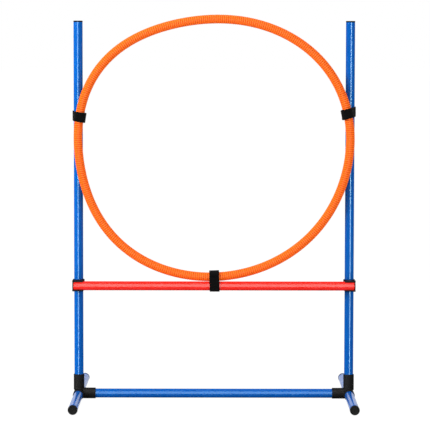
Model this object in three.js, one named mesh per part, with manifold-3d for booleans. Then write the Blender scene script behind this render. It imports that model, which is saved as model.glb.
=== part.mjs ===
// An agility hurdle for dogs: a push-fit tube frame that carries a jump bar and a hoop above it.
// Millimetres, +Z up. The origin is on the floor, midway between the two uprights and in their plane.
// +X runs from the left upright to the right one, and -Y is the side the bar and the hoop are on.
import * as THREE from 'three';
import { mergeVertices } from 'three/addons/utils/BufferGeometryUtils.js';
import Module from 'manifold-3d';

const wasm = await Module();
wasm.setup();

// ---- Driving dimensions -------------------------------------------------------------------

const ROUND = 24; // facets around a tube
const ARC_SHARE = 0.5; // an arc of a shape is drawn with twice its curveSegments
const GAP = 0.3; // clearance between a piece and the one that holds it
const WELD = 1e-3; // points closer than this are one point

// Frame
const UPRIGHT_X = 358; // each upright's axis, from the middle
const FRAME_HEIGHT = 1000; // floor to the top of the upright caps
const FOOT_AXIS_Z = 13.6; // axis height of the foot tubes and the cross tube
const FOOT_REACH = 290; // upright's axis to the face of a foot cap

// Tubes, all of one stock
const TUBE_R = 12;
const TUBE_WALL = 1.6;
const TUBE_BORE_R = TUBE_R - TUBE_WALL;

// Corner connectors
const SOCKET_BORE_R = TUBE_R + GAP;
const SOCKET_STOP = 14.4; // connector's centre to where a tube's end stands
const RISER_R = 14; // outside of the socket for the upright
const RISER_BOTTOM = 9.4; // its flat lower edge, above the foot axis
const RISER_TOP_Z = 65;
const FORE_AFT_R = 14.2; // outside of the two sockets for the feet
const INWARD_R = 14.5; // outside of the socket for the cross tube
const SOCKET_REACH = 44; // connector's centre to the mouth of each level socket

// End caps: a flange on a stem that plugs the tube
const CAP_STEM_R = TUBE_BORE_R - GAP;
const CAP_STEM_LENGTH = 16;
const CAP_CHAMFER = 0.8;
const UPRIGHT_CAP = { radius: 12.2, thickness: 3.5 };
const FOOT_CAP = { radius: 12.6, thickness: 4 };
const BAR_CAP = { radius: 12.2, thickness: 3 };

// Jump bar
const BAR_Z = 303;
const BAR_Y = -28;
const BAR_HALF = 373; // middle of the bar to the face of its cap

// Bar clips
const CLIP_BORE_R = TUBE_R + GAP;
const CLIP_GRIP_R = 15.5; // outside of the C on the upright
const CLIP_CUP_R = 15; // outside of the C around the bar
const CLIP_HEIGHT = 30;
const CLIP_CUP_WIDTH = 28.6;
const CLIP_CUP_SHIFT = 1.2; // the cup stands this much outwards of the upright
const CLIP_GRIP_OPENING = 96; // degrees, towards the back
const CLIP_CUP_OPENING = 104; // degrees, towards the front
const CLIP_WEB = { x: 20, y: 12, z: 24 };

// Hoop
const HOOP_X = -2.2;
const HOOP_Y = -25;
const HOOP_Z = 670.1;
const HOOP_RADIUS = 351; // middle of the hose
const HOSE_R = 11.7;
const HOSE_WALL = 1.5;
const HOOP_STEPS = 72; // lengths the hose is drawn in
const NEARBY = 0.5; // degrees either side of a point, to find the hose's direction there
const HOSE_ROUND = 12; // facets around the hose
const SEAM_ANGLE = 270.5; // degrees from +X: where the ends of the hose meet
const SEAM_GAP = 0.1; // degrees between the ends
// The hose is held out of round: [bulges, height of each bulge, angle of the first one in degrees]
const OUT_OF_ROUND = [
  [2, 10, 5.6],
  [3, 5.3, 24.8],
  [4, 3.3, -40.4],
  [5, 1.2, 7],
  [6, 0.6, 28],
];

// Hoop joiner: a sleeve inside both ends of the hose
const JOINER_ARC = 7.5; // degrees
const JOINER_STEPS = 4;
const JOINER_WALL = 2;
const JOINER_R = HOSE_R - HOSE_WALL - GAP;

// Hook-and-loop straps
const STRAP_ROUND = 12; // facets around each end of a strap
const STRAP_WIDTH = 26;
const STRAP_THICKNESS = 2.6; // between a single turn and the overlap
const STRAP_SLACK = 0.6; // strap to the tube or hose it holds
const LEFT_STRAP_ANGLE = 167.5; // degrees from +X, around the hoop
const RIGHT_STRAP_ANGLE = 13.9;

// ---- Materials ----------------------------------------------------------------------------

const finish = (color, roughness) => () =>
  new THREE.MeshStandardMaterial({ color, roughness, metalness: 0 });
const blueTube = finish(0x0560cf, 0.25);
const redTube = finish(0xf52418, 0.28);
const orangeHose = finish(0xff6e1c, 0.42);
const blackMoulding = finish(0x262523, 0.62);
const blackCap = finish(0x1f1e1d, 0.35);
const whiteSleeve = finish(0xe4e2da, 0.5);
const blackStrap = finish(0x121212, 0.95);

// ---- Solids -------------------------------------------------------------------------------

const radians = THREE.MathUtils.degToRad;

function toSolid(geometry) {
  const bare = geometry.index ? geometry.toNonIndexed() : geometry.clone();
  bare.deleteAttribute('normal');
  bare.deleteAttribute('uv');
  const merged = mergeVertices(bare, WELD);
  return new wasm.Manifold(
    new wasm.Mesh({
      numProp: 3,
      vertProperties: new Float32Array(merged.attributes.position.array),
      triVerts: new Uint32Array(merged.index.array),
    }),
  );
}

function toGeometry(solid) {
  const { vertProperties, triVerts } = solid.getMesh();
  const geometry = new THREE.BufferGeometry();
  geometry.setAttribute('position', new THREE.BufferAttribute(vertProperties, 3));
  geometry.setIndex(new THREE.BufferAttribute(triVerts, 1));
  geometry.computeVertexNormals();
  return geometry;
}

const join = (...solids) => solids.reduce((all, next) => all.add(next));

function annulus(outer, inner) {
  const shape = new THREE.Shape();
  shape.absarc(0, 0, outer, 0, 2 * Math.PI);
  const bore = new THREE.Path();
  bore.absarc(0, 0, inner, 0, 2 * Math.PI);
  shape.holes.push(bore);
  return shape;
}

// A straight prism of the shape, from the XY plane up to +Z
const prism = (shape, length) =>
  new THREE.ExtrudeGeometry(shape, {
    depth: length,
    curveSegments: ROUND * ARC_SHARE,
    bevelEnabled: false,
  });

const pipe = (outer, inner, length) => prism(annulus(outer, inner), length);

// A solid round bar from 0 to length along +Z, with vertices on both its section's axes
function rod(radius, length) {
  const geometry = new THREE.CylinderGeometry(radius, radius, length, ROUND);
  return geometry.rotateX(Math.PI / 2).translate(0, 0, length / 2);
}

// Turns a +Z geometry so that it runs along the direction
function along(geometry, direction) {
  const turn = new THREE.Quaternion().setFromUnitVectors(new THREE.Vector3(0, 0, 1), direction);
  return geometry.applyQuaternion(turn);
}

const UP = new THREE.Vector3(0, 0, 1);
const RIGHT = new THREE.Vector3(1, 0, 0);
const LEFT = new THREE.Vector3(-1, 0, 0);
const BACK = new THREE.Vector3(0, 1, 0);
const FRONT = new THREE.Vector3(0, -1, 0);

// ---- Sub-parts ----------------------------------------------------------------------------

// Four sockets around a solid core, flat underneath. Its centre is where the tube axes cross,
// and inward is the way to the other connector.
function cornerConnector(inward) {
  const riser = rod(RISER_R, RISER_TOP_Z - FOOT_AXIS_Z - RISER_BOTTOM).translate(0, 0, RISER_BOTTOM);
  const foreAft = along(rod(FORE_AFT_R, 2 * SOCKET_REACH), BACK).translate(0, -SOCKET_REACH, 0);
  const crossSocket = along(rod(INWARD_R, SOCKET_REACH), inward);
  let body = join(toSolid(riser), toSolid(foreAft), toSolid(crossSocket));
  const boreStart = SOCKET_STOP - GAP;
  for (const direction of [UP, inward, BACK, FRONT]) {
    const bore = along(rod(SOCKET_BORE_R, 2 * SOCKET_REACH), direction);
    const start = direction.clone().multiplyScalar(boreStart);
    body = body.subtract(toSolid(bore.translate(start.x, start.y, start.z)));
  }
  const wide = 4 * SOCKET_REACH;
  const deep = FOOT_AXIS_Z;
  const belowFloor = new THREE.BoxGeometry(wide, wide, deep);
  belowFloor.translate(0, 0, -FOOT_AXIS_Z - deep / 2);
  return toGeometry(body.subtract(toSolid(belowFloor)));
}

// A plug for a tube's end, with its flange's inner face at 0 and its face towards +Z
function endCap({ radius, thickness }) {
  const profile = [
    [0, -CAP_STEM_LENGTH],
    [CAP_STEM_R - CAP_CHAMFER, -CAP_STEM_LENGTH],
    [CAP_STEM_R, -CAP_STEM_LENGTH + CAP_CHAMFER],
    [CAP_STEM_R, GAP],
    [radius, GAP],
    [radius, thickness - CAP_CHAMFER],
    [radius - CAP_CHAMFER, thickness],
    [0, thickness],
  ];
  const points = profile.map(([r, height]) => new THREE.Vector2(r, height));
  return new THREE.LatheGeometry(points, ROUND).rotateX(Math.PI / 2);
}

// A wedge along +Z, with its edge on the Z axis and its opening in degrees facing the angle
function wedge(facing, opening, length) {
  const sides = [facing - opening / 2, facing + opening / 2].map(radians);
  const far = 2 * CLIP_GRIP_R; // well outside the clip
  const corners = sides.map((side) => new THREE.Vector2(Math.cos(side), Math.sin(side)));
  const shape = new THREE.Shape([new THREE.Vector2(), ...corners.map((c) => c.multiplyScalar(far))]);
  return prism(shape, length);
}

// Two Cs back to back: one is pushed over the upright from the front, the other holds the bar.
// Its centre is on the upright's axis at the bar's height, and outward is -1 or 1 along X.
function barClip(outward) {
  const grip = rod(CLIP_GRIP_R, CLIP_HEIGHT).translate(0, 0, -CLIP_HEIGHT / 2);
  const cupStart = outward * CLIP_CUP_SHIFT - CLIP_CUP_WIDTH / 2;
  const cup = along(rod(CLIP_CUP_R, CLIP_CUP_WIDTH), RIGHT).translate(cupStart, BAR_Y, 0);
  const web = new THREE.BoxGeometry(CLIP_WEB.x, CLIP_WEB.y, CLIP_WEB.z).translate(0, BAR_Y / 2, 0);

  const cutLength = 2 * CLIP_HEIGHT;
  const gripBore = rod(CLIP_BORE_R, cutLength).translate(0, 0, -CLIP_HEIGHT);
  const gripMouth = wedge(90, CLIP_GRIP_OPENING, cutLength).translate(0, 0, -CLIP_HEIGHT);
  const cupBore = along(rod(CLIP_BORE_R, cutLength), RIGHT).translate(-CLIP_HEIGHT, BAR_Y, 0);
  const cupMouth = along(wedge(0, CLIP_CUP_OPENING, cutLength), RIGHT);
  cupMouth.rotateX(-Math.PI / 2).translate(-CLIP_HEIGHT, BAR_Y, 0);

  const body = join(toSolid(grip), toSolid(cup), toSolid(web));
  const cuts = [gripBore, gripMouth, cupBore, cupMouth].map(toSolid);
  return toGeometry(cuts.reduce((left, cut) => left.subtract(cut), body));
}

// The middle line of the hose between two angles in degrees, about the hoop's centre
class HoopLine extends THREE.Curve {
  constructor(from, to) {
    super();
    this.from = from;
    this.to = to;
  }

  getPoint(t, target = new THREE.Vector3()) {
    const angle = this.from + (this.to - this.from) * t;
    let radius = HOOP_RADIUS;
    for (const [bulges, height, peak] of OUT_OF_ROUND) {
      radius += height * Math.cos(bulges * radians(angle - peak));
    }
    const turn = radians(angle);
    return target.set(radius * Math.cos(turn), 0, radius * Math.sin(turn));
  }
}

// The middle of the hose at an angle in degrees, and its unit direction there, facing as guide does
function hoseLine(angle, guide) {
  const around = new HoopLine(angle - NEARBY, angle + NEARBY);
  const run = around.getPoint(1).sub(around.getPoint(0)).normalize();
  return { middle: around.getPoint(0.5), run: run.multiplyScalar(Math.sign(run.dot(guide))) };
}

// A pipe that follows the hose's middle line
function bentPipe(from, to, outer, inner, steps) {
  return new THREE.ExtrudeGeometry(annulus(outer, inner), {
    extrudePath: new HoopLine(from, to),
    steps,
    curveSegments: HOSE_ROUND * ARC_SHARE,
    bevelEnabled: false,
  });
}

// The section of a belt around two circles: one at the origin, the other at a distance along +Y
function beltOutline(Outline, nearR, farR, distance) {
  const lean = Math.asin((nearR - farR) / distance);
  const outline = new Outline();
  outline.absarc(0, 0, nearR, Math.PI - lean, 2 * Math.PI + lean, false);
  outline.absarc(0, distance, farR, lean, Math.PI - lean, false);
  outline.closePath();
  return outline;
}

// A strap around the hose and a tube beside it. Each of the two is a point on its middle line
// and its unit direction there. The strap lies straight across the hose, and twists to stay
// on the tube where the tube runs another way.
function strap(hose, tube) {
  const toTube = tube.middle.clone().sub(hose.middle);
  const reach = toTube.dot(hose.run) / tube.run.dot(hose.run);
  toTube.addScaledVector(tube.run, -reach);
  const distance = toTube.length();
  const outwards = toTube.clone().normalize();
  const sideways = outwards.clone().cross(hose.run);
  const slant = 1 / tube.run.dot(hose.run);

  const inside = [HOSE_R + STRAP_SLACK, TUBE_R * slant + STRAP_SLACK];
  const outside = inside.map((radius) => radius + STRAP_THICKNESS);
  const section = beltOutline(THREE.Shape, ...outside, distance);
  section.holes.push(beltOutline(THREE.Path, ...inside, distance));
  const band = new THREE.ExtrudeGeometry(section, {
    depth: STRAP_WIDTH,
    curveSegments: STRAP_ROUND * ARC_SHARE,
    bevelEnabled: false,
  });
  band.translate(0, 0, -STRAP_WIDTH / 2);

  const position = band.attributes.position;
  for (let i = 0; i < position.count; i += 1) {
    const share = THREE.MathUtils.clamp(position.getY(i) / distance, 0, 1);
    const twist = slant * position.getZ(i) * share;
    position.setX(i, position.getX(i) + twist * tube.run.dot(sideways));
    position.setY(i, position.getY(i) + twist * tube.run.dot(outwards));
  }
  band.applyMatrix4(new THREE.Matrix4().makeBasis(sideways, outwards, hose.run));
  return band.translate(...hose.middle.toArray());
}

// ---- Assembly -----------------------------------------------------------------------------

const hurdle = new THREE.Group();

function place(parent, name, geometry, material, x = 0, y = 0, z = 0) {
  const mesh = new THREE.Mesh(geometry, material());
  mesh.name = name;
  mesh.position.set(x, y, z);
  parent.add(mesh);
  return mesh;
}

const tube = (length) => pipe(TUBE_R, TUBE_BORE_R, length);

function addBase() {
  const base = new THREE.Group();
  base.position.z = FOOT_AXIS_Z;
  const crossHalf = UPRIGHT_X - SOCKET_STOP;
  place(base, 'base_cross_tube', along(tube(2 * crossHalf), RIGHT), blueTube, -crossHalf);
  const tubeEnd = FOOT_REACH - FOOT_CAP.thickness;
  for (const [side, x, inward] of [['left', -UPRIGHT_X, RIGHT], ['right', UPRIGHT_X, LEFT]]) {
    place(base, `${side}_corner_connector`, cornerConnector(inward), blackMoulding, x);
    for (const [end, direction] of [['front', FRONT], ['rear', BACK]]) {
      const foot = along(tube(tubeEnd - SOCKET_STOP), direction);
      place(base, `${side}_${end}_foot_tube`, foot, blueTube, x, direction.y * SOCKET_STOP);
      const cap = along(endCap(FOOT_CAP), direction);
      place(base, `${side}_${end}_foot_cap`, cap, blackCap, x, direction.y * tubeEnd);
    }
  }
  hurdle.add(base);
}

function addUprights() {
  const bottom = FOOT_AXIS_Z + SOCKET_STOP;
  const top = FRAME_HEIGHT - UPRIGHT_CAP.thickness;
  for (const [side, x] of [['left', -UPRIGHT_X], ['right', UPRIGHT_X]]) {
    place(hurdle, `${side}_upright`, tube(top - bottom), blueTube, x, 0, bottom);
    place(hurdle, `${side}_upright_cap`, endCap(UPRIGHT_CAP), blackCap, x, 0, top);
  }
}

function addJumpBar() {
  const bar = new THREE.Group();
  bar.position.set(0, BAR_Y, BAR_Z);
  const tubeHalf = BAR_HALF - BAR_CAP.thickness;
  place(bar, 'jump_bar', along(tube(2 * tubeHalf), RIGHT), redTube, -tubeHalf);
  place(bar, 'left_bar_cap', along(endCap(BAR_CAP), LEFT), blackCap, -tubeHalf);
  place(bar, 'right_bar_cap', along(endCap(BAR_CAP), RIGHT), blackCap, tubeHalf);
  hurdle.add(bar);
  place(hurdle, 'left_bar_clip', barClip(-1), blackMoulding, -UPRIGHT_X, 0, BAR_Z);
  place(hurdle, 'right_bar_clip', barClip(1), blackMoulding, UPRIGHT_X, 0, BAR_Z);
}

function addHoop() {
  const hoop = new THREE.Group();
  hoop.position.set(HOOP_X, HOOP_Y, HOOP_Z);
  const hoseEnds = [SEAM_ANGLE - 360 + SEAM_GAP / 2, SEAM_ANGLE - SEAM_GAP / 2];
  const hose = bentPipe(...hoseEnds, HOSE_R, HOSE_R - HOSE_WALL, HOOP_STEPS);
  place(hoop, 'hoop_hose', hose, orangeHose);
  const joinerEnds = [SEAM_ANGLE - JOINER_ARC / 2, SEAM_ANGLE + JOINER_ARC / 2];
  const joiner = bentPipe(...joinerEnds, JOINER_R, JOINER_R - JOINER_WALL, JOINER_STEPS);
  place(hoop, 'hoop_joiner', joiner, whiteSleeve);

  const heldTubes = [
    ['left_hoop_strap', LEFT_STRAP_ANGLE, UP, [-UPRIGHT_X, 0, HOOP_Z]],
    ['right_hoop_strap', RIGHT_STRAP_ANGLE, UP, [UPRIGHT_X, 0, HOOP_Z]],
    ['lower_hoop_strap', SEAM_ANGLE, RIGHT, [0, BAR_Y, BAR_Z]],
  ];
  for (const [name, angle, run, middle] of heldTubes) {
    const tubeLine = { middle: new THREE.Vector3(...middle).sub(hoop.position), run };
    place(hoop, name, strap(hoseLine(angle, run), tubeLine), blackStrap);
  }
  hurdle.add(hoop);
}

addBase();
addUprights();
addJumpBar();
addHoop();

export default hurdle;
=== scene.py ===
"""Agility hurdle: the fine surface, materials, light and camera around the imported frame.

Each shape is built in millimetres in a frame of its own, and add_piece() puts it into the scene in metres.
"""
from collections import namedtuple
from math import acos, asin, atan2, cos, pi, radians, sin, tan, tau

import bmesh
import bpy
import numpy as np
from mathutils import Matrix, Vector


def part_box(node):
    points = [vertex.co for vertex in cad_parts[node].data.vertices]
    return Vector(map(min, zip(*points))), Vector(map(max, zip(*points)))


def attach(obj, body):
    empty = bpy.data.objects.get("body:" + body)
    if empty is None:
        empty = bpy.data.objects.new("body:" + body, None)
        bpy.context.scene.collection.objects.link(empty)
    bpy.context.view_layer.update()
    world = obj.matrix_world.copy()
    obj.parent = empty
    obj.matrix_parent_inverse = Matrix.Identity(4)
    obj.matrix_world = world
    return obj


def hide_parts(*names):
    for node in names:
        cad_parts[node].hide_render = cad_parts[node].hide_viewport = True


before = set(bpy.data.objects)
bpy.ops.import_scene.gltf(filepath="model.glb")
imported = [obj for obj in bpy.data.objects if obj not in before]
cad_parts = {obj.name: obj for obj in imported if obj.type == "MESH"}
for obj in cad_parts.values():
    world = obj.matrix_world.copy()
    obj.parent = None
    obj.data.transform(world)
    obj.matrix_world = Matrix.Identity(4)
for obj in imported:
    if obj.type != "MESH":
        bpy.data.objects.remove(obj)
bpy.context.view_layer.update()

MM = 0.001
X, Y, Z = Vector((1, 0, 0)), Vector((0, 1, 0)), Vector((0, 0, 1))

# A mesh. Extra holds named values, one for each point.
Shape = namedtuple("Shape", "points faces extra", defaults=({},))

# ---- Sizes the frame doesn't give, in millimetres and degrees --------------------------------

AROUND = 96  # points around a tube or cap
RING_SPACING = 20  # longest face along a tube
FILLET_STEPS = 5  # faces in a rounded corner
SHARP = 40  # angle above which an edge isn't smoothed

TUBE_R = 12.0
TUBE_WALL = 1.6
TUBE_LIP = 0.5  # rounding of a cut tube end
TUBE_LIP_STEPS = 3

CAP_STEM_R = 10.1
CAP_STEM_WALL = 1.8
CAP_STEM_TAPER = 0.7
CAP_STEM_EDGE = 0.4
CAP_FLOOR = 1.2  # closed end of the hollow stem, below the tube's end
CAP_FLOOR_FILLET = 0.6
CAP_BARB = 0.2
CAP_BARBS = (0.85, 0.5)  # where they are, as shares of the stem
CAP_BARB_SLOPES = (0.8, 0.4)
CAP_SEAT = 0.05  # flange to the tube's end
CAP_SEAT_EDGE = 0.35
CAP_RIM = 1.2  # rounding of the flange's outer edge
CAP_DISH_R = 8.6  # shallow recess in a cap's face
CAP_DISH_DEPTH = 0.45
CAP_DISH_SLOPE = 0.4
CAP_DISH_FILLET = 0.3
CAP_GATE_R = 0.9  # mark of the moulding gate, in the middle of the recess
CAP_GATE_HEIGHT = 0.25
CAP_GATE_SLOPE = 0.2
CAP_GATE_FILLET = 0.1

SOCKET_BORE_R = 12.3
SOCKET_BORE_EDGE = 0.5
SOCKET_STOP = 14.1  # bottom of a socket, from the crossing of the axes
SOCKET_EDGE = 0.8
SOCKET_MOUTH = 0.8
RISER_R = 14.0
RISER_BOTTOM = 9.4
FORE_AFT_R = 14.2
INWARD_R = 14.5
CONNECTOR_STEP = 0.75  # mesh spacing
CONNECTOR_FILLET = 1.6
CONNECTOR_FLAT_EDGE = 0.6

CLIP_BORE_R = 12.3
CLIP_BORE_EDGE = 0.3
CLIP_GRIP_R = 15.5
CLIP_CUP_R = 15.0
CLIP_CUP_LENGTH = 28.6
CLIP_GRIP_OPENING = 96
CLIP_CUP_OPENING = 104
CLIP_WEB_HALF = (10.0, 4.5, 12.0)
CLIP_WEB_EDGE = 1.0
CLIP_STEP = 0.55  # mesh spacing
CLIP_EDGE = 0.7
CLIP_FILLET = 1.6

SKIN_RELAX = (0, 0.5, 0.5, 0.5, 0)  # share of the way to the neighbours' middle, pass by pass
SKIN_PULLS = 4  # steps back on to the surface in each pass

HOOP_RADIUS = 351.0
OUT_OF_ROUND = (  # bulges around the ring, their height, and the angle of the first
    (2, 10, 5.6),
    (3, 5.3, 24.8),
    (4, 3.3, -40.4),
    (5, 1.2, 7),
    (6, 0.6, 28),
)
LINE_POINTS = 7201  # points that the line's length is measured with
OUTLINE_POINTS = 721  # points that its box is measured with
SEAM_ANGLE = 270.5
SEAM_GAP = 0.1
HOSE_R = 11.7
HOSE_BORE_R = 10.2
HOSE_BORE_LENGTHS = 180
HOSE_AROUND = 32
HOSE_SHARP = 80
CORRUGATION_PITCH = 5.5
CORRUGATION_DEPTH = 0.95
CORRUGATION_RINGS = (0, 0.06, 0.17, 0.34, 0.66, 0.83, 0.94)  # shares of the pitch
CROWN_POWER = 2.2  # 2 is an elliptical crown, and more is squarer
JOINER_ARC = 7.5
JOINER_R = 9.9
JOINER_WALL = 2.0
JOINER_BEVEL = 0.5
JOINER_RINGS = (-1, -0.97, -0.5, 0, 0.5, 0.97, 1)  # shares of half its arc, with a bevel at each end

STRAP_WIDTH = 26.0
STRAP_LAYER = 2.1
STRAP_LIFT = 1.05  # layers from the strap's start to its end on top
STRAP_RAMP = 8.0  # length over which the strap climbs on to its own start
STRAP_PEEL_LENGTH = 14.0
STRAP_SLACK = 1.1
STRAP_STEP = 1.2  # mesh spacing along the strap
STRAP_ACROSS = 14
STRAP_EDGE_POINTS = 4
STRAP_SHARP = 60

# A strap's angle on the hoop, the tube it holds and that tube's direction, the way round it goes (-1 or 1),
# its start and end as shares of a turn, and its end's peel and skew.
Wrap = namedtuple("Wrap", "angle held run side start end peel skew")
WRAPS = {
    "left_hoop_strap": Wrap(167.5, "left_upright", Z, side=1, start=0.18, end=1.5, peel=0.8, skew=-0.4),
    "right_hoop_strap": Wrap(13.9, "right_upright", Z, side=-1, start=0.18, end=1.5, peel=5.5, skew=-1.2),
    "lower_hoop_strap": Wrap(SEAM_ANGLE, "jump_bar", X, side=1, start=0.05, end=1.3, peel=0.3, skew=0.3),
}


# ---- Turned shapes ----------------------------------------------------------------------------


def grid_faces(rows, columns, close_rows, close_columns):
    """Quads between the neighbouring points of a grid."""
    row = np.arange(rows if close_rows else rows - 1)
    column = np.arange(columns if close_columns else columns - 1)
    r, c = np.meshgrid(row, column, indexing="ij")
    r2, c2 = (r + 1) % rows, (c + 1) % columns
    quads = [r * columns + c, r2 * columns + c, r2 * columns + c2, r * columns + c2]
    return np.stack(quads, -1).reshape(-1, 4).tolist()


def rounded(corners, steps=FILLET_STEPS):
    """The outline through (x, y, fillet radius) corners, with each fillet drawn as an arc."""
    points = []
    for i, (x, y, radius) in enumerate(corners):
        here = np.array([x, y], float)
        if radius == 0:
            points.append(here)
            continue
        back = np.array(corners[i - 1][:2]) - here
        ahead = np.array(corners[(i + 1) % len(corners)][:2]) - here
        back, ahead = back / np.linalg.norm(back), ahead / np.linalg.norm(ahead)
        half = acos(np.clip(back @ ahead, -1, 1)) / 2
        middle = (back + ahead) / np.linalg.norm(back + ahead)
        centre = here + middle * radius / sin(half)
        start = here + back * radius / tan(half) - centre
        end = here + ahead * radius / tan(half) - centre
        first = atan2(start[1], start[0])
        turn = (atan2(end[1], end[0]) - first + pi) % tau - pi
        for step in range(steps + 1):
            angle = first + turn * step / steps
            points.append(centre + radius * np.array([cos(angle), sin(angle)]))
    return np.array(points)


def lathe(outline, on_axis=False):
    """Turns (radius, height) points about Z: a closed outline, or one that starts and ends on the axis."""
    angles = np.arange(AROUND) * tau / AROUND
    rings = outline[1:-1] if on_axis else outline
    radius, height = rings[:, 0, None], rings[:, 1, None]
    grid = np.stack([radius * np.cos(angles), radius * np.sin(angles), height + 0 * angles], -1)
    faces = grid_faces(len(rings), AROUND, not on_axis, True)
    points = grid.reshape(-1, 3)
    if on_axis:
        last = (len(rings) - 1) * AROUND
        start, end = len(points), len(points) + 1
        points = np.vstack([points, [0, 0, outline[0][1]], [0, 0, outline[-1][1]]])
        for i in range(AROUND):
            j = (i + 1) % AROUND
            faces += [[start, j, i], [end, last + i, last + j]]
    return Shape(points, faces)


def spaced(outline, longest):
    """A closed outline with its long stretches divided."""
    points = []
    for here, ahead in zip(outline, np.roll(outline, -1, axis=0)):
        parts = max(1, int(np.ceil(np.linalg.norm(ahead - here) / longest)))
        points += [here + (ahead - here) * k / parts for k in range(parts)]
    return np.array(points)


def tube(radius, length):
    """A cut length of tube along +Z from the origin, with its ends slightly rounded."""
    bore = radius - TUBE_WALL
    corners = [(radius, 0), (radius, length), (bore, length), (bore, 0)]
    outline = rounded([(r, h, TUBE_LIP) for r, h in corners], TUBE_LIP_STEPS)
    return lathe(spaced(outline, RING_SPACING))


def end_cap(radius, thickness, stem):
    """A moulded plug. Its flange starts at the tube's end, at height 0, and its stem goes down the tube."""
    inner = CAP_STEM_R - CAP_STEM_WALL
    dish = thickness - CAP_DISH_DEPTH
    gate = dish + CAP_GATE_HEIGHT
    corners = [
        (0, -CAP_FLOOR, 0),
        (inner, -CAP_FLOOR, CAP_FLOOR_FILLET),
        (inner, -stem, CAP_STEM_EDGE),
        (CAP_STEM_R - CAP_STEM_TAPER, -stem, CAP_STEM_EDGE),
    ]
    below, above = CAP_BARB_SLOPES
    for share in CAP_BARBS:
        tip = -share * stem
        corners += [
            (CAP_STEM_R, tip - below, 0),
            (CAP_STEM_R + CAP_BARB, tip, CAP_BARB),
            (CAP_STEM_R, tip + above, 0),
        ]
    corners += [
        (CAP_STEM_R, CAP_SEAT, 0),
        (radius, CAP_SEAT, CAP_SEAT_EDGE),
        (radius, thickness, CAP_RIM),
        (CAP_DISH_R + CAP_DISH_SLOPE, thickness, CAP_DISH_FILLET),
        (CAP_DISH_R, dish, CAP_DISH_FILLET),
        (CAP_GATE_R + CAP_GATE_SLOPE, dish, CAP_GATE_FILLET),
        (CAP_GATE_R, gate, CAP_GATE_FILLET),
        (0, gate, 0),
    ]
    return lathe(rounded(corners), on_axis=True)


# ---- Mouldings, as distance fields ------------------------------------------------------------


def soft_min(a, b, blend):
    """The smaller of two distances, with the crease between them filled."""
    share = np.clip(0.5 + 0.5 * (b - a) / blend, 0, 1)
    return b + (a - b) * share - blend * share * (1 - share)


def soft_max(a, b, blend):
    """The larger of two distances, with the edge between them rounded off."""
    return -soft_min(-a, -b, blend)


def slab_distance(across, along, low, high, edge):
    """Distance to what is inside across < 0 and low < along < high, with rounded edges."""
    q1 = across + edge
    q2 = np.abs(along - (low + high) / 2) - (high - low) / 2 + edge
    outside = np.hypot(np.maximum(q1, 0), np.maximum(q2, 0))
    return np.minimum(np.maximum(q1, q2), 0) + outside - edge


def rod_distance(p, axis, radius, low, high, edge, centre=(0, 0)):
    """Distance to a rod along the axis (0, 1 or 2), centred at the other two coordinates."""
    first, second = [p[..., i] for i in range(3) if i != axis]
    across = np.hypot(first - centre[0], second - centre[1]) - radius
    return slab_distance(across, p[..., axis], low, high, edge)


def hook_distance(u, v, radius, half_wall, reach):
    """Distance in a plane to a C-shaped wall with round lips.

    It is open towards -u, and reach is each lip's angle from +u.
    """
    angle = np.abs(np.arctan2(v, u))
    wall = np.abs(np.hypot(u, v) - radius)
    tip = np.hypot(u - radius * cos(reach), np.abs(v) - radius * sin(reach))
    return np.where(angle < reach, wall, tip) - half_wall


def block_distance(p, centre, half, edge):
    """Distance to a box with rounded edges."""
    q = np.abs(p - np.array(centre)) - (np.array(half) - edge)
    return np.linalg.norm(np.maximum(q, 0), axis=-1) + np.minimum(q.max(-1), 0) - edge


def slope(field, points):
    """The field's unit gradient."""
    reach, smallest = 1e-3, 1e-12
    columns = []
    for axis in range(3):
        step = np.zeros(3)
        step[axis] = reach
        columns.append(field(points + step) - field(points - step))
    gradient = np.stack(columns, -1)
    return gradient / np.maximum(np.linalg.norm(gradient, axis=-1, keepdims=True), smallest)


def net_quads(inside, number):
    """A quad of cell numbers around each grid edge that has one end inside and the other outside."""
    quads = []
    for axis in range(3):
        u, v = [i for i in range(3) if i != axis]
        first = [0 if i == axis else 1 for i in range(3)]
        change = inside != np.roll(inside, -1, axis)
        window = tuple(slice(start, count) for start, count in zip(first, number.shape))
        at = np.argwhere(change[window]) + first
        ring = []
        for du, dv in ((-1, -1), (0, -1), (0, 0), (-1, 0)):
            cell = at.copy()
            cell[:, u] += du
            cell[:, v] += dv
            ring.append(number[tuple(cell.T)])
        quads.append(np.stack(ring, -1))
    quads = np.vstack(quads)
    return quads[(quads >= 0).all(1)]


def settled(points, quads, field):
    """The points, evened out between their neighbours and drawn exactly on to the field's zero surface."""
    pairs = np.vstack([quads[:, [i, (i + 1) % 4]] for i in range(4)])
    pairs = np.vstack([pairs, pairs[:, ::-1]])
    here, there = pairs.T
    count = np.bincount(here, minlength=len(points))[:, None]
    for relax in SKIN_RELAX:
        total = np.stack([np.bincount(here, points[there, i], len(points)) for i in range(3)], -1)
        points = points + relax * (total / count - points)
        for _ in range(SKIN_PULLS):
            points = points - field(points)[:, None] * slope(field, points)
    return points


def skin(field, low, high, step):
    """Even quads on the field's zero surface, found by surface nets."""
    axes = [np.arange(a - 2 * step, b + 2.5 * step, step) for a, b in zip(low, high)]
    grid = np.stack(np.meshgrid(*axes, indexing="ij"), -1)
    inside = field(grid) < 0
    cells = tuple(n - 1 for n in inside.shape)

    filled = np.zeros(cells, int)
    for offset in np.ndindex(2, 2, 2):
        filled += inside[tuple(slice(o, o + n) for o, n in zip(offset, cells))]
    crossed = (filled > 0) & (filled < 8)
    number = np.full(cells, -1)
    number[crossed] = np.arange(crossed.sum())
    quads = net_quads(inside, number)
    points = grid[:-1, :-1, :-1][crossed] + step / 2
    return Shape(settled(points, quads, field), quads.tolist())


def mirrored(shape):
    """The shape's mirror image across its own YZ plane."""
    return Shape(shape.points * [-1, 1, 1], shape.faces, shape.extra)


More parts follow.
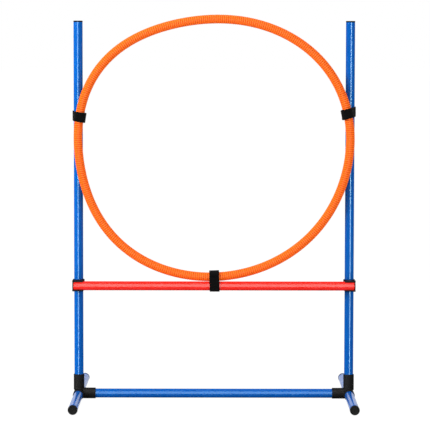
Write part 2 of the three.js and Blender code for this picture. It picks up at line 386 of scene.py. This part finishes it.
def corner_connector(riser_top, reach, inward_reach, floor):
    """Four sockets about the point where the tubes' axes cross. Inwards is +X."""
    far = 2 * riser_top
    bores = (
        (2, SOCKET_STOP, far),
        (0, SOCKET_STOP, far),
        (1, SOCKET_STOP, far),
        (1, -far, -SOCKET_STOP),
    )

    def field(p):
        riser = rod_distance(p, 2, RISER_R, RISER_BOTTOM, riser_top, SOCKET_EDGE)
        fore_aft = rod_distance(p, 1, FORE_AFT_R, -reach, reach, SOCKET_EDGE)
        inward = rod_distance(p, 0, INWARD_R, 0, inward_reach, SOCKET_EDGE)
        body = soft_min(soft_min(riser, fore_aft, CONNECTOR_FILLET), inward, CONNECTOR_FILLET)
        body = soft_max(body, floor - p[..., 2], CONNECTOR_FLAT_EDGE)
        for axis, start, end in bores:
            bore = rod_distance(p, axis, SOCKET_BORE_R, start, end, SOCKET_BORE_EDGE)
            body = soft_max(body, -bore, SOCKET_MOUTH)
        return body

    low = (-FORE_AFT_R, -reach, floor)
    high = (inward_reach, reach, riser_top)
    return skin(field, low, high, CONNECTOR_STEP)


def hook_sizes(radius, opening):
    """A clip hook's middle radius, half its wall, and its lips' angle from the back of the hook."""
    middle, half_wall = (radius + CLIP_BORE_R) / 2, (radius - CLIP_BORE_R) / 2
    return middle, half_wall, pi - radians(opening / 2) - half_wall / middle


def bar_clip(height, bar_y, cup_low, cup_high):
    """A C that grips the upright, open to the back, and a C cup for the bar, open to the front."""
    grip_sizes = hook_sizes(CLIP_GRIP_R, CLIP_GRIP_OPENING)
    cup_sizes = hook_sizes(CLIP_CUP_R, CLIP_CUP_OPENING)

    def field(p):
        x, y, z = p[..., 0], p[..., 1], p[..., 2]
        grip = slab_distance(hook_distance(-y, x, *grip_sizes), z, -height / 2, height / 2, CLIP_EDGE)
        cup = slab_distance(hook_distance(y - bar_y, z, *cup_sizes), x, cup_low, cup_high, CLIP_EDGE)
        web = block_distance(p, (0, bar_y / 2, 0), CLIP_WEB_HALF, CLIP_WEB_EDGE)
        body = soft_min(soft_min(grip, web, CLIP_FILLET), cup, CLIP_FILLET)
        upright = rod_distance(p, 2, CLIP_BORE_R, -height, height, 0)
        bar = rod_distance(p, 0, CLIP_BORE_R, -height, height, 0, (bar_y, 0))
        return soft_max(soft_max(body, -upright, CLIP_BORE_EDGE), -bar, CLIP_BORE_EDGE)

    low = (min(cup_low, -CLIP_GRIP_R), bar_y - CLIP_CUP_R, -height / 2)
    high = (max(cup_high, CLIP_GRIP_R), CLIP_GRIP_R, height / 2)
    return skin(field, low, high, CLIP_STEP)


# ---- The hoop ---------------------------------------------------------------------------------


def hoop_line(degrees):
    """The hose's middle line in the hoop's plane, as (x, 0, z) about the hoop's centre."""
    degrees = np.asarray(degrees, float)
    radius = HOOP_RADIUS + sum(
        height * np.cos(bulges * np.radians(degrees - first)) for bulges, height, first in OUT_OF_ROUND
    )
    turn = np.radians(degrees)
    return np.stack([radius * np.cos(turn), 0 * turn, radius * np.sin(turn)], -1)


def hose_line(degrees, guide):
    """The middle of the hose at an angle, and its direction there, facing as guide does."""
    near = 0.5
    start, end = hoop_line([degrees - near, degrees + near])
    run = Vector(end - start).normalized()
    return Vector(hoop_line(degrees)), run if run.dot(guide) > 0 else -run


def evenly_along(start, end, count, shares=(0.0,)):
    """Angles from start to end, at the shares of each of count equal lengths of the hoop line."""
    fine = np.linspace(start, end, LINE_POINTS)
    steps = np.linalg.norm(np.diff(hoop_line(fine), axis=0), axis=1)
    length = np.concatenate([[0], np.cumsum(steps)])
    wanted = (np.arange(count)[:, None] + np.array(shares)).ravel() / count
    return np.interp(np.append(wanted, 1.0) * length[-1], length, fine), length[-1]


def rings_along(angles, radii):
    """A ring of points around the hoop line at each angle."""
    near = 0.05
    middle = hoop_line(angles)
    run = hoop_line(angles + near) - hoop_line(angles - near)
    run /= np.linalg.norm(run, axis=1, keepdims=True)
    back = np.array([0, 1, 0])
    outward = np.cross(run, back)
    turn = np.arange(HOSE_AROUND) * tau / HOSE_AROUND
    spokes = outward[:, None] * np.cos(turn)[None, :, None] + back * np.sin(turn)[None, :, None]
    return middle[:, None] + spokes * np.asarray(radii)[:, None, None]


def pipe(outside, inside):
    """A pipe's points and faces, from the rings along its outside and back along its inside."""
    points = np.concatenate([outside, inside])
    return points.reshape(-1, 3), grid_faces(len(points), HOSE_AROUND, True, True)


def corrugated_hose():
    """The hose from one end at the seam, round to the other: crowned corrugations outside, smooth inside."""
    start, end = SEAM_ANGLE - 360 + SEAM_GAP / 2, SEAM_ANGLE - SEAM_GAP / 2
    shares = np.array(CORRUGATION_RINGS)
    crown = (1 - np.abs(2 * shares - 1) ** CROWN_POWER) ** (1 / CROWN_POWER)
    bore_angles, length = evenly_along(start, end, HOSE_BORE_LENGTHS)
    count = round(length / CORRUGATION_PITCH)
    angles, _ = evenly_along(start, end, count, shares)
    heights = np.append(np.tile(crown, count), 0)
    outside = rings_along(angles, HOSE_R - CORRUGATION_DEPTH * (1 - heights))
    inside = rings_along(bore_angles[::-1], np.full(len(bore_angles), HOSE_BORE_R))
    ridge = np.concatenate([heights, np.zeros(len(bore_angles))])
    return Shape(*pipe(outside, inside), {"ridge": np.repeat(ridge, HOSE_AROUND)})


def joiner_sleeve():
    """A short sleeve inside both ends of the hose, with its ends bevelled."""
    shares = np.array(JOINER_RINGS)
    angles = SEAM_ANGLE + JOINER_ARC / 2 * shares
    radii = np.where(np.abs(shares) == 1, JOINER_R - JOINER_BEVEL, JOINER_R)
    inside = rings_along(angles[::-1], np.full(len(angles), JOINER_R - JOINER_WALL))
    return Shape(*pipe(rings_along(angles, radii), inside))


def belt(near, far, distance):
    """A loop around a circle at the origin and one at distance along +y, as a function of length along it."""
    lean = asin((near - far) / distance)
    side = distance * cos(lean)
    near_arc, far_arc = (pi + 2 * lean) * near, (pi - 2 * lean) * far
    total = near_arc + far_arc + 2 * side

    def at(length):
        """The loop's point and outward direction."""
        s = length % total
        if s < near_arc:
            angle = pi - lean + s / near
            out = np.array([cos(angle), sin(angle)])
            return near * out, out
        s -= near_arc
        if s < side:
            out = np.array([cos(lean), sin(lean)])
            run = np.array([-sin(lean), cos(lean)])
            return near * out + s * run, out
        s -= side
        if s < far_arc:
            angle = lean + s / far
            out = np.array([cos(angle), sin(angle)])
            return np.array([0, distance]) + far * out, out
        s -= far_arc
        out = np.array([-cos(lean), sin(lean)])
        run = np.array([-sin(lean), -cos(lean)])
        return np.array([0, distance]) + far * out + s * run, out

    return at, total


def strap_section():
    """A flat strip's section, thin and round-edged, as (across, up) points."""
    half, thin = STRAP_WIDTH / 2, STRAP_LAYER / 2
    flat = np.linspace(-1, 1, STRAP_ACROSS) * (half - thin)
    turns = np.linspace(-pi / 2, pi / 2, STRAP_EDGE_POINTS + 2)[1:-1]
    top = [(a, thin) for a in flat[::-1]]
    left = [(-half + thin - thin * cos(t), -thin * sin(t)) for t in turns]
    right = [(half - thin + thin * cos(t), thin * sin(t)) for t in turns]
    return top + left + [(a, -thin) for a in flat] + right


def strap(wrap, tube_middle):
    """A strap round the hose and the tube beside it. Its last stretch lies on top of its first one."""
    hose_middle, hose_run = hose_line(wrap.angle, wrap.run)
    slant = 1 / wrap.run.dot(hose_run)
    to_tube = tube_middle - hose_middle
    to_tube -= wrap.run * (to_tube.dot(hose_run) * slant)
    distance = to_tube.length
    outwards = to_tube.normalized()
    sideways = outwards.cross(hose_run)
    clear = STRAP_SLACK + STRAP_LAYER / 2
    at, total = belt(HOSE_R + clear, TUBE_R * slant + clear, distance)
    section = strap_section()

    points, woven = [], []
    shares = np.linspace(wrap.start, wrap.end, int((wrap.end - wrap.start) * total / STRAP_STEP))
    for share in shares:
        place, out = at(share * total)
        on_top = np.clip((share - wrap.start - 1) * total / STRAP_RAMP + 1, 0, 1)
        last = np.clip((share - wrap.end) * total / STRAP_PEEL_LENGTH + 1, 0, 1)
        climb = on_top * on_top * (3 - 2 * on_top)
        lift = STRAP_LAYER * STRAP_LIFT * climb + wrap.peel * last * last
        for across, up in section:
            wide = across + wrap.skew * on_top
            x, y = place + out * (lift + up)
            twist = slant * wide * np.clip(y / distance, 0, 1)
            x = wrap.side * x + twist * wrap.run.dot(sideways)
            y += twist * wrap.run.dot(outwards)
            points.append(hose_middle + sideways * x + outwards * y + hose_run * wide)
            woven.append((share * total, across, up))
    faces = grid_faces(len(shares), len(section), False, True)
    first = list(range(len(section)))
    faces += [first, [len(points) - 1 - i for i in first]]
    return Shape(np.array(points), faces, {"woven": np.array(woven)})


# ---- Materials --------------------------------------------------------------------------------

NOISE_MIDDLE = (0.3, 0.7)  # where most of a noise's values lie

# Cycles per millimetre of the patterns on a tube: twice across it, and along it
TUBE_STREAKS = (0.8, 0.8, 0.004)
TUBE_HAZE = (0.15, 0.15, 0.03)
TUBE_SCRATCHES = (0.25, 0.25, 2.5)
TUBE_DIE_LINES = (2.2, 2.2, 0.003)
TUBE_CLOUDS = 0.02
TUBE_RELIEF = 0.012
TUBE_ROUGH = (0.16, 0.27)
SCRATCH_ROUGH = (0.0, 0.12)

HOSE_CREST = ((1.0, 0.175, 0.012, 1), (0.97, 0.155, 0.009, 1))
# Painted shade: the grooves between the corrugations are coloured darker than the crests
HOSE_GROOVE_SHADE = (0.6, 0.035, 0.002, 1)
HOSE_RELIEF = 0.03
HOSE_ROUGH = (0.34, 0.5)

CLOUDED = 1.5  # brightness of the lightest clouds in a black moulding, and of an edge rubbed bare
RUBBED = 3
RUBBED_EDGES = (0.52, 0.60)  # pointiness from unworn to worn
RUBBED_MOST = 0.5

SLEEVE_WHITES = ((0.8, 0.79, 0.73, 1), (0.7, 0.69, 0.62, 1))
SLEEVE_ROUGH = (0.4, 0.6)

WARP_PITCH, WEFT_PITCH = 0.9, 1.3
WEAVE_SHARE, FUZZ_SHARE = 0.6, 0.7
STRAP_RELIEF = 0.25
STRAP_BLACKS = (0.002, 0.006)
STRAP_ROUGH = (0.8, 0.95)

# Sockets of a mix node, which has a set for colours and one for numbers
MIX_FACTOR = 0
MIX_COLOURS, MIX_COLOUR = (6, 7), 2
MIX_NUMBERS, MIX_NUMBER = (2, 3), 0

# The world is shaded with these functions too, in the material's place.


def feed(material, socket, value):
    """Links a node's output to the socket, or sets the socket to a plain value."""
    if isinstance(value, bpy.types.NodeSocket):
        material.node_tree.links.new(value, socket)
    else:
        socket.default_value = value


def add_node(material, kind, inputs, output=0, **settings):
    """A node with its settings and inputs, and one of its outputs."""
    node = material.node_tree.nodes.new(kind)
    for key, value in settings.items():
        setattr(node, key, value)
    for socket, value in inputs.items():
        feed(material, node.inputs[socket], value)
    return node.outputs[output]


def attribute(material, name, output="Vector"):
    return add_node(material, "ShaderNodeAttribute", {}, output, attribute_name=name)


def scaled(material, vector, scale):
    return add_node(material, "ShaderNodeVectorMath", {0: vector, 1: scale}, operation="MULTIPLY")


def noise(material, vector, scale=1.0, detail=2.0, roughness=0.5):
    inputs = {"Vector": vector, "Scale": scale, "Detail": detail, "Roughness": roughness}
    return add_node(material, "ShaderNodeTexNoise", inputs, "Fac")


def spread(material, value, before, after=(0.0, 1.0)):
    """The value taken from one (low, high) range to another, and held inside it."""
    inputs = {"Value": value}
    inputs["From Min"], inputs["From Max"] = before
    inputs["To Min"], inputs["To Max"] = after
    return add_node(material, "ShaderNodeMapRange", inputs)


def maths(material, operation, first, second=0.0):
    return add_node(material, "ShaderNodeMath", {0: first, 1: second}, operation=operation)


def blend_colours(material, share, first, second):
    inputs = {MIX_FACTOR: share, MIX_COLOURS[0]: first, MIX_COLOURS[1]: second}
    return add_node(material, "ShaderNodeMix", inputs, MIX_COLOUR, data_type="RGBA")


def bump(material, height, distance):
    """Height from 0 to 1, as relief of so many millimetres."""
    inputs = {"Height": height, "Distance": distance * MM, "Strength": 1.0}
    return add_node(material, "ShaderNodeBump", inputs)


def new_material(name):
    material = bpy.data.materials.new(name)
    material.use_nodes = True
    return material


def shade(material, inputs):
    shader = material.node_tree.nodes["Principled BSDF"]
    for socket, value in inputs.items():
        feed(material, shader.inputs[socket], value)
    return material


def grey(value):
    return (value, value, value, 1.0)


def tube_plastic(name, colour, deep, shine):
    """Glossy extruded plastic: faint lengthwise streaks, handling haze and fine scratches."""
    material = new_material(name)
    local = attribute(material, "local")
    streaks = noise(material, scaled(material, local, TUBE_STREAKS), detail=3.0)
    clouds = noise(material, local, scale=TUBE_CLOUDS)
    tone = maths(material, "MULTIPLY", streaks, clouds)
    haze = noise(material, scaled(material, local, TUBE_HAZE), detail=4.0)
    scratches = noise(material, scaled(material, local, TUBE_SCRATCHES), detail=6.0, roughness=0.7)
    hazy = spread(material, haze, (0.3, 0.75), TUBE_ROUGH)
    scratched = spread(material, scratches, (0.66, 0.74), SCRATCH_ROUGH)
    die_lines = noise(material, scaled(material, local, TUBE_DIE_LINES))
    return shade(material, {
        "Base Color": blend_colours(material, spread(material, tone, (0.12, 0.42)), colour, deep),
        "Roughness": maths(material, "ADD", hazy, scratched),
        "Normal": bump(material, die_lines, TUBE_RELIEF),
        "Specular IOR Level": 0.5,
        "Specular Tint": shine,
    })


def hose_plastic():
    """Satin polyethylene: painted shade, a darker colour, in the grooves, and slight mottling."""
    material = new_material("orange_hose_plastic")
    local = attribute(material, "local")
    mottle = spread(material, noise(material, local, scale=0.35, detail=3.0), NOISE_MIDDLE)
    crest = blend_colours(material, mottle, *HOSE_CREST)
    ridge = spread(material, attribute(material, "ridge", "Fac"), (0.3, 1.0))
    patches = noise(material, local, scale=0.9, detail=3.0)
    return shade(material, {
        # Painted shade: the ridge height blends from the darker groove colour up to the crest colour
        "Base Color": blend_colours(material, ridge, HOSE_GROOVE_SHADE, crest),
        "Roughness": spread(material, patches, NOISE_MIDDLE, HOSE_ROUGH),
        "Normal": bump(material, noise(material, local, scale=1.6), HOSE_RELIEF),
        "Specular IOR Level": 0.12,
    })


def moulded_black(name, colour, shine, rough, grain):
    """Black moulding with a spark-eroded grain and edges rubbed a little lighter."""
    material = new_material(name)
    local = attribute(material, "local")
    clouds = spread(material, noise(material, local, scale=0.12, detail=3.0), NOISE_MIDDLE)
    base = blend_colours(material, clouds, grey(colour), grey(colour * CLOUDED))
    edge = add_node(material, "ShaderNodeNewGeometry", {}, "Pointiness")
    rubbed = maths(material, "MULTIPLY", spread(material, edge, RUBBED_EDGES), RUBBED_MOST)
    pits = noise(material, local, scale=1.4, detail=3.0, roughness=0.6)
    patches = noise(material, local, scale=0.5, detail=3.0)
    return shade(material, {
        "Base Color": blend_colours(material, rubbed, base, grey(colour * RUBBED)),
        "Roughness": spread(material, patches, NOISE_MIDDLE, rough),
        "Normal": bump(material, pits, grain),
        "Specular IOR Level": shine,
    })


def sleeve_plastic():
    """Natural white plastic, faintly clouded."""
    material = new_material("white_sleeve_plastic")
    clouds = noise(material, attribute(material, "local"), scale=0.2, detail=3.0)
    return shade(material, {
        "Base Color": blend_colours(material, clouds, *SLEEVE_WHITES),
        "Roughness": spread(material, clouds, (0, 1), SLEEVE_ROUGH),
    })


def strap_fabric():
    """Woven nylon with a brushed loop face."""
    material = new_material("black_strap_fabric")
    woven = attribute(material, "woven")

    def threads(axis, pitch):
        along = add_node(material, "ShaderNodeSeparateXYZ", {0: woven}, axis)
        return maths(material, "SINE", maths(material, "MULTIPLY", along, tau / pitch))

    crossings = maths(material, "MULTIPLY", threads("Y", WARP_PITCH), threads("X", WEFT_PITCH))
    weave = maths(material, "MULTIPLY", spread(material, crossings, (-1, 1)), WEAVE_SHARE)
    fuzz = noise(material, woven, scale=1.8, detail=4.0, roughness=0.7)
    height = maths(material, "ADD", weave, maths(material, "MULTIPLY", fuzz, FUZZ_SHARE))
    worn = spread(material, fuzz, (0.35, 0.7))
    return shade(material, {
        "Base Color": blend_colours(material, worn, grey(STRAP_BLACKS[0]), grey(STRAP_BLACKS[1])),
        "Roughness": spread(material, fuzz, NOISE_MIDDLE, STRAP_ROUGH),
        "Normal": bump(material, height, STRAP_RELIEF),
        "Specular IOR Level": 0.1,
        "Sheen Weight": 0.04,
        "Sheen Roughness": 0.5,
    })


def make_finishes():
    """A material for each slot of the record."""
    blue, deep_blue, blue_shine = (0.0006, 0.108, 0.47, 1), (0.0004, 0.092, 0.43, 1), (0.6, 0.97, 1.0, 1)
    red, deep_red, red_shine = (0.99, 0.022, 0.013, 1), (0.95, 0.017, 0.009, 1), (1.0, 0.95, 0.93, 1)
    matt = {"colour": 0.007, "shine": 0.4, "rough": (0.5, 0.65), "grain": 0.05}
    satin = {"colour": 0.006, "shine": 0.4, "rough": (0.3, 0.42), "grain": 0.015}
    return {
        "blue_tube": tube_plastic("blue_tube_plastic", blue, deep_blue, blue_shine),
        "red_tube": tube_plastic("red_tube_plastic", red, deep_red, red_shine),
        "orange_hose": hose_plastic(),
        "black_moulding": moulded_black("black_moulding_plastic", **matt),
        "black_cap": moulded_black("black_cap_plastic", **satin),
        "white_sleeve": sleeve_plastic(),
        "black_strap": strap_fabric(),
    }


# ---- Pieces -----------------------------------------------------------------------------------

finishes = make_finishes()
pieces = {}  # by CAD node


def add_attribute(mesh, label, values):
    """Stores a number or a vector for each point, for the materials to read."""
    kind, field = ("FLOAT", "value") if np.ndim(values) == 1 else ("FLOAT_VECTOR", "vector")
    layer = mesh.attributes.new(label, kind, "POINT")
    layer.data.foreach_set(field, np.asarray(values, np.float32).ravel())


def add_piece(node, shape, body, slot, place, sharp=SHARP):
    """Puts a shape into the scene as a mesh that rides on a body and stands for a CAD node."""
    name = node + "_model"
    mesh = bpy.data.meshes.new(name)
    mesh.from_pydata(shape.points.tolist(), [], shape.faces)
    add_attribute(mesh, "local", shape.points)
    for label, values in shape.extra.items():
        add_attribute(mesh, label, values)
    mesh.transform(Matrix.Scale(MM, 4) @ place)
    work = bmesh.new()
    work.from_mesh(mesh)
    bmesh.ops.recalc_face_normals(work, faces=work.faces)
    work.to_mesh(mesh)
    work.free()
    mesh.shade_smooth()
    mesh.set_sharp_from_angle(angle=radians(sharp))
    mesh.materials.append(finishes[slot])
    piece = bpy.data.objects.new(name, mesh)
    bpy.context.scene.collection.objects.link(piece)
    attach(piece, body)
    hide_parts(node)
    pieces[node] = piece


def box_mm(node):
    low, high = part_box(node)
    return low / MM, high / MM


def centre_mm(node):
    low, high = box_mm(node)
    return (low + high) / 2


def facing(direction, origin):
    """The placement that turns +Z to the direction and puts a shape's origin at the point."""
    turn = Z.rotation_difference(direction).to_matrix().to_4x4()
    return Matrix.Translation(origin) @ turn


def add_tube(node, body, axis, slot):
    low, high = box_mm(node)
    length = (high - low).dot(axis)
    radius = min(high - low) / 2
    start = (low + high) / 2 - axis * length / 2
    add_piece(node, tube(radius, length), body, slot, facing(axis, start))


def add_cap(node, tube_node, body, outward):
    """A cap in the tube's end that faces outward."""
    low, high = box_mm(node)
    tube_low, tube_high = box_mm(tube_node)
    tube_end = centre_mm(tube_node) + outward * abs((tube_high - tube_low).dot(outward)) / 2
    length = abs((high - low).dot(outward))
    far = centre_mm(node) + outward * length / 2
    thickness = (far - tube_end).dot(outward)
    radius = max(high - low) / 2
    shape = end_cap(radius, thickness, length - thickness)
    add_piece(node, shape, body, "black_cap", facing(outward, tube_end))


def on_upright(side, height):
    """The placement of a moulding that is centred on an upright at a height."""
    middle = centre_mm(f"{side}_upright")
    middle.z = height
    return Matrix.Translation(middle)


def left_connector(axes_height):
    low, high = box_mm("left_corner_connector")
    inward_reach = high.x - centre_mm("left_upright").x
    return corner_connector(high.z - axes_height, high.y, inward_reach, low.z - axes_height)


def add_foot(foot, outward):
    add_tube(f"{foot}_tube", foot, Y, "blue_tube")
    add_cap(f"{foot}_cap", f"{foot}_tube", foot, outward)


def add_frame():
    """The base with its feet, and the uprights."""
    add_tube("base_cross_tube", "base", X, "blue_tube")
    axes_height = centre_mm("base_cross_tube").z
    left = left_connector(axes_height)
    for side, connector in (("left", left), ("right", mirrored(left))):
        place = on_upright(side, axes_height)
        add_piece(f"{side}_corner_connector", connector, "base", "black_moulding", place)
        add_foot(f"{side}_front_foot", -Y)
        add_foot(f"{side}_rear_foot", Y)
        add_tube(f"{side}_upright", f"{side}_post", Z, "blue_tube")
        add_cap(f"{side}_upright_cap", f"{side}_upright", f"{side}_post", Z)


def left_clip(bar):
    low, high = box_mm("left_bar_clip")
    upright = centre_mm("left_upright")
    cup_low = low.x - upright.x
    return bar_clip(high.z - low.z, bar.y - upright.y, cup_low, cup_low + CLIP_CUP_LENGTH)


def add_bar():
    """The jump bar, its caps, and the clips that hold it."""
    add_tube("jump_bar", "bar", X, "red_tube")
    add_cap("left_bar_cap", "jump_bar", "bar", -X)
    add_cap("right_bar_cap", "jump_bar", "bar", X)
    bar = centre_mm("jump_bar")
    left = left_clip(bar)
    for side, clip in (("left", left), ("right", mirrored(left))):
        place = on_upright(side, bar.z)
        add_piece(f"{side}_bar_clip", clip, f"{side}_clip", "black_moulding", place)


def add_hoop():
    """The hose, the sleeve inside its seam and the straps, about the hoop's centre."""
    line = hoop_line(np.linspace(0, 360, OUTLINE_POINTS))
    line_middle = (line.min(0) + line.max(0)) / 2
    centre = centre_mm("hoop_hose") - Vector(line_middle)
    place = Matrix.Translation(centre)
    add_piece("hoop_hose", corrugated_hose(), "hoop", "orange_hose", place, HOSE_SHARP)
    add_piece("hoop_joiner", joiner_sleeve(), "hoop", "white_sleeve", place)
    for node, wrap in WRAPS.items():
        shape = strap(wrap, centre_mm(wrap.held) - centre)
        add_piece(node, shape, "hoop", "black_strap", place, STRAP_SHARP)


# ---- Studio, in metres ------------------------------------------------------------------------

CAMERA_AT = Vector((0.0019, -6.25, 0.962))
CAMERA_DOWN = 4.333  # degrees below level
CAMERA_ROLL = -0.08
CAMERA_LENS = 198.54
CAMERA_SENSOR = 36.0
CAMERA_REACH = 200

FLOOR_HALF = 60.0
FLOOR_DROP = 0.0005  # keeps it clear of the connectors' flats
FLOOR_GLOW = 0.97
FLOOR_PAPER = (0.05, 0.07)  # grey that the camera sees besides the glow
FLOOR_BOUNCE = 0.6  # grey for all other light

ROOM_REFLECTED = (0.015, 0.9)  # brightness in front and behind
ROOM_REFLECTED_EDGE = (0.93, 0.975)  # where it changes, from -1 in front to 1 behind
ROOM_DIFFUSE = (0.35, 1.2)
ROOM_DIFFUSE_EDGE = (-0.2, 0.4)

SHINE_DISTANCE = 3.0
SHINE_HEIGHT = 1.6
SHINE_TALL = 4.4


def add_camera():
    data = bpy.data.cameras.new("camera")
    data.lens = CAMERA_LENS
    data.sensor_width = CAMERA_SENSOR
    data.clip_end = CAMERA_REACH
    camera = bpy.data.objects.new("camera", data)
    camera.location = CAMERA_AT
    camera.rotation_euler = (radians(90 - CAMERA_DOWN), radians(CAMERA_ROLL), 0)
    bpy.context.scene.collection.objects.link(camera)
    bpy.context.scene.camera = camera


def floor_paper():
    """Pale paper that looks evenly lit to the camera, and throws only some light back on to the hurdle."""
    material = new_material("studio_floor_paper")
    place = add_node(material, "ShaderNodeTexCoord", {}, "Object")
    grain = noise(material, place, scale=40.0, detail=3.0)
    seen = add_node(material, "ShaderNodeLightPath", {}, "Is Camera Ray")
    paper = blend_colours(material, grain, grey(FLOOR_PAPER[0]), grey(FLOOR_PAPER[1]))
    return shade(material, {
        "Base Color": blend_colours(material, seen, grey(FLOOR_BOUNCE), paper),
        "Roughness": 0.9,
        "Specular IOR Level": 0.0,
        "Emission Color": grey(1.0),
        "Emission Strength": maths(material, "MULTIPLY", seen, FLOOR_GLOW),
    })


def add_floor():
    corners = [(x * FLOOR_HALF, y * FLOOR_HALF, 0) for x, y in ((-1, -1), (1, -1), (1, 1), (-1, 1))]
    mesh = bpy.data.meshes.new("studio_floor")
    mesh.from_pydata(corners, [], [(0, 1, 2, 3)])
    mesh.materials.append(floor_paper())
    floor = bpy.data.objects.new("studio_floor", mesh)
    floor.location.z = -FLOOR_DROP
    floor.visible_glossy = False
    floor.visible_shadow = False
    bpy.context.scene.collection.objects.link(floor)


def add_light(name, at, size, power, aim):
    """A rectangular softbox that faces a point and isn't seen itself."""
    data = bpy.data.lights.new(name, "AREA")
    data.shape = "RECTANGLE"
    data.size, data.size_y = size
    data.energy = power
    light = bpy.data.objects.new(name, data)
    light.location = at
    light.rotation_euler = (Vector(aim) - Vector(at)).to_track_quat("-Z", "Y").to_euler()
    light.visible_camera = False
    bpy.context.scene.collection.objects.link(light)
    return light


def light_only(light, lit):
    """Keeps a light off everything but the lit pieces."""
    receivers = bpy.data.collections.new(light.name)
    for piece in lit:
        receivers.objects.link(piece)
    light.light_linking.receiver_collection = receivers


def add_softbox(name, at, size, power, lit=()):
    """A light for the matt surfaces, left out of reflections, and on some pieces only if any are given."""
    light = add_light(name, at, size, power, aim=(0, 0, 0.5))
    light.visible_glossy = False
    if lit:
        light_only(light, lit)


def add_shine(name, at, size, power, aim, lit):
    """A panel that only makes highlights, and only on the lit pieces."""
    light = add_light(name, at, size, power, aim)
    light.visible_diffuse = False
    light_only(light, lit)


def add_front_shine(name, x, width, power, lit):
    """A tall panel in front, square to the hurdle."""
    at, aim = (x, -SHINE_DISTANCE, SHINE_HEIGHT), (x, 0, SHINE_HEIGHT)
    add_shine(name, at, (width, SHINE_TALL), power, aim, lit)


def add_lights():
    hose, left, right = [pieces[node] for node in ("hoop_hose", "left_upright", "right_upright")]
    bright = [pieces[node] for node in ("base_cross_tube", "jump_bar", "hoop_hose", "hoop_joiner")]
    black = [piece for piece in pieces.values() if piece.data.materials[0].name.startswith("black")]
    moulded = [piece for node, piece in pieces.items() if node.endswith(("_connector", "_clip"))]
    add_softbox("key", at=(-3.4, -2.6, 2.4), size=(1.6, 1.6), power=155)
    add_softbox("fill", at=(3.5, -3.5, 1.6), size=(2.0, 2.0), power=50)
    add_softbox("top", at=(0, -0.6, 3.6), size=(2.5, 2.5), power=55)
    add_softbox("side_key", at=(-4.0, -0.8, 2.6), size=(1.2, 1.2), power=85, lit=[hose, left])
    add_softbox("hose_fill", at=(2.5, -0.8, -2.5), size=(1.5, 1.5), power=40, lit=[hose])
    add_front_shine("left_shine", x=-0.785, width=0.8, power=170, lit=[left])
    add_front_shine("right_shine", x=1.42, width=0.8, power=215, lit=[right])
    add_front_shine("middle_shine", x=0, width=3.0, power=190, lit=bright)
    add_front_shine("black_shine", x=0, width=3.0, power=22, lit=black)
    add_shine("side_shine", at=(-4.0, -2.4, 1.0), size=(1.6, 4.4), power=65, aim=(0, 0, 0.2), lit=moulded)
    add_shine("top_shine", at=(0, -2.2, 3.6), size=(4.4, 1.6), power=45, aim=(0, 0, 0.1), lit=moulded)


def add_world():
    """A white surround to the camera, with a bright backdrop behind the hurdle and a dim room in front.

    Reflections and diffuse light each see it at levels of their own.
    """
    world = bpy.data.worlds.new("studio")
    world.use_nodes = True

    def choose(share, first, second):
        inputs = {MIX_FACTOR: share, MIX_NUMBERS[0]: first, MIX_NUMBERS[1]: second}
        return add_node(world, "ShaderNodeMix", inputs, MIX_NUMBER)

    def path(kind):
        return add_node(world, "ShaderNodeLightPath", {}, kind)

    direction = add_node(world, "ShaderNodeTexCoord", {}, "Generated")
    backwards = add_node(world, "ShaderNodeSeparateXYZ", {0: direction}, "Y")
    reflected = spread(world, backwards, ROOM_REFLECTED_EDGE, ROOM_REFLECTED)
    diffuse = spread(world, backwards, ROOM_DIFFUSE_EDGE, ROOM_DIFFUSE)
    unseen = choose(path("Is Diffuse Ray"), reflected, diffuse)
    level = choose(path("Is Camera Ray"), unseen, 1.0)
    feed(world, world.node_tree.nodes["Background"].inputs["Color"], level)
    bpy.context.scene.world = world


def add_studio():
    add_camera()
    add_floor()
    add_world()
    add_lights()
    bpy.context.scene.view_settings.view_transform = "Standard"


add_frame()
add_bar()
add_hoop()
add_studio()
